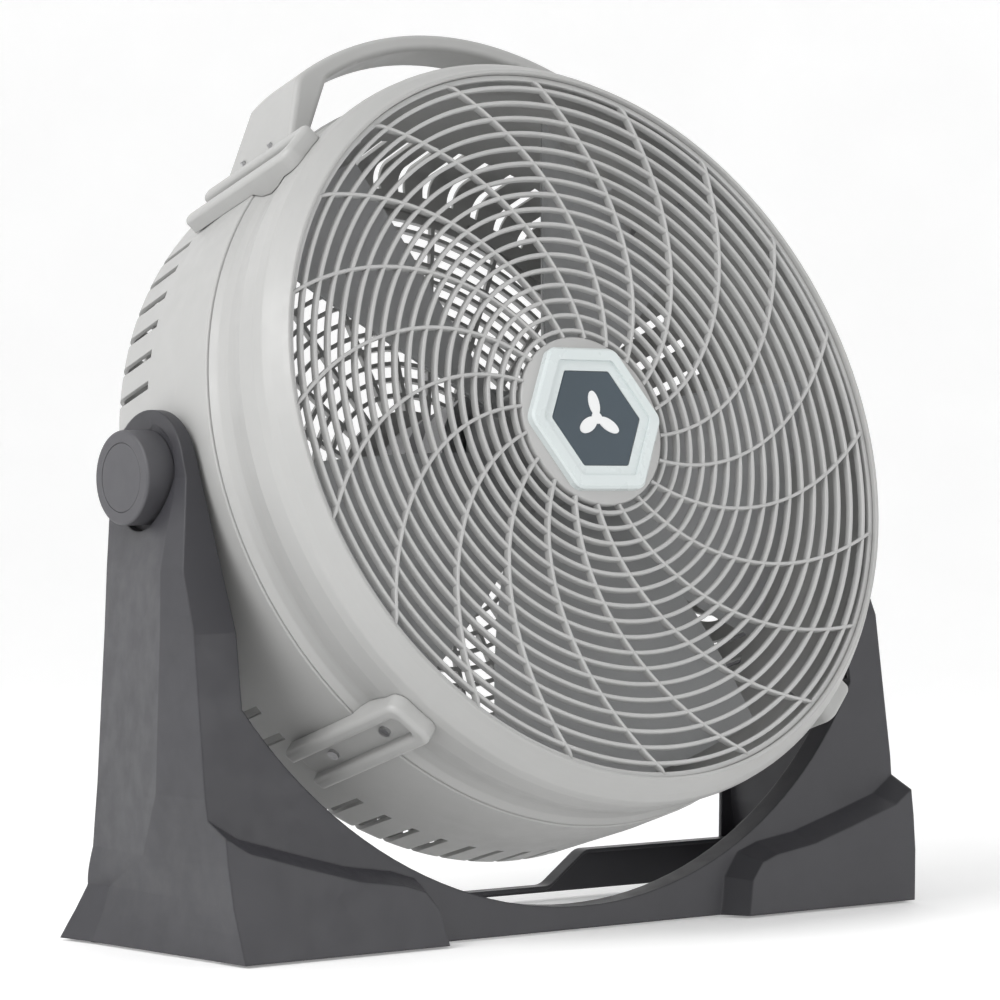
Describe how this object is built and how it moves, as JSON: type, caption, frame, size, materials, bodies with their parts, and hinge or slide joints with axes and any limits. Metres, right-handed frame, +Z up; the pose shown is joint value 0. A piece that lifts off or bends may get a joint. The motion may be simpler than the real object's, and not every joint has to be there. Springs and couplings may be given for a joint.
{
  "type": "axial air mover",
  "caption": "Pivoting drum floor fan: round grey housing with a spiral ribbed front grille and a top carry handle, tilting between two arms of a dark cradle base.",
  "frame": {"origin": "on the floor, at the middle of the fan's footprint", "axes": "+Z up, -Y the way the fan blows, +X to the right of someone facing the grille"},
  "size_m": [0.593, 0.3337, 0.6003],
  "materials": {
    "housing_plastic": "satin moulded, light warm grey",
    "grille_plastic": "satin moulded, light grey",
    "base_plastic": "fine textured, dark blue grey",
    "knob_plastic": "fine textured, dark grey",
    "badge_border_plastic": "glossy, pale ice grey",
    "badge_face_plastic": "glossy, slate blue",
    "badge_mark_plastic": "glossy, off white",
    "blade_plastic": "semi gloss, mid grey",
    "black_plastic": "matt black",
    "screw_steel": "zinc plated",
    "lamination_steel": "varnished laminations",
    "winding_copper": "enamelled copper",
    "bell_aluminium": "die cast",
    "bearing_bronze": "sintered bronze",
    "foot_rubber": "matt"
  },
  "bodies": {
    "base": {"base_frame": "base_plastic", "rear_crossbar": "base_plastic", "arm_cover_left": "base_plastic", "arm_cover_right": "base_plastic", "pivot_bush_left": "bearing_bronze", "pivot_bush_right": "bearing_bronze", "friction_washer_left": "foot_rubber", "friction_washer_right": "foot_rubber", "rubber_feet": "foot_rubber", "base_screws": "screw_steel", "arm_cover_screws": "screw_steel"},
    "head": {"rear_housing": "housing_plastic", "front_bezel": "housing_plastic", "clip_upper_left": "housing_plastic", "clip_upper_right": "housing_plastic", "clip_lower_left": "housing_plastic", "clip_lower_right": "housing_plastic", "carry_handle": "housing_plastic", "pivot_pad_left": "housing_plastic", "pivot_pad_right": "housing_plastic", "rear_motor_cover": "housing_plastic", "front_grille": "grille_plastic", "rear_grille": "grille_plastic", "badge_border": "badge_border_plastic", "badge_face": "badge_face_plastic", "badge_mark": "badge_mark_plastic", "control_plate": "black_plastic", "switch_body": "black_plastic", "capacitor": "black_plastic", "terminal_block": "black_plastic", "cord_gland": "black_plastic", "clip_screws": "screw_steel", "handle_screws": "screw_steel", "rear_grille_screws": "screw_steel", "cover_screws": "screw_steel", "motor_mount_screws": "screw_steel", "motor_through_bolts": "screw_steel", "pivot_insert_left": "screw_steel", "pivot_insert_right": "screw_steel", "stator_core": "lamination_steel", "stator_windings": "winding_copper", "motor_front_bell": "bell_aluminium", "motor_rear_bell": "bell_aluminium", "front_bearing": "bearing_bronze", "rear_bearing": "bearing_bronze"},
    "impeller": {"fan_blades": "blade_plastic", "rotor_core": "lamination_steel", "motor_shaft": "screw_steel", "impeller_nut": "black_plastic", "drive_pin": "screw_steel"},
    "selector": {"selector_knob": "knob_plastic", "switch_shaft": "black_plastic"},
    "knob_left": {"tilt_knob_left": "knob_plastic", "knob_cap_left": "knob_plastic", "knob_stud_left": "screw_steel"},
    "knob_right": {"tilt_knob_right": "knob_plastic", "knob_cap_right": "knob_plastic", "knob_stud_right": "screw_steel"}
  },
  "joints": [
    {"name": "head_tilt", "type": "hinge", "parent": "base", "child": "head", "pos_m": [0, 0.033, 0.296], "axis": [-1, 0, 0], "range_deg": [-33, 72]},
    {"name": "impeller_spin", "type": "hinge", "parent": "head", "child": "impeller", "pos_m": [0, 0.033, 0.296], "axis": [0, -0.9511, 0.309], "continuous": true},
    {"name": "selector_turn", "type": "hinge", "parent": "head", "child": "selector", "pos_m": [0, 0.033, 0.296], "axis": [0, 0.9511, -0.309], "range_deg": [-135, 0]},
    {"name": "knob_left_turn", "type": "hinge", "parent": "base", "child": "knob_left", "pos_m": [-0.28, 0.033, 0.296], "axis": [-1, 0, 0], "range_deg": [0, 360]},
    {"name": "knob_right_turn", "type": "hinge", "parent": "base", "child": "knob_right", "pos_m": [0.28, 0.033, 0.296], "axis": [1, 0, 0], "range_deg": [0, 360]}
  ]
}
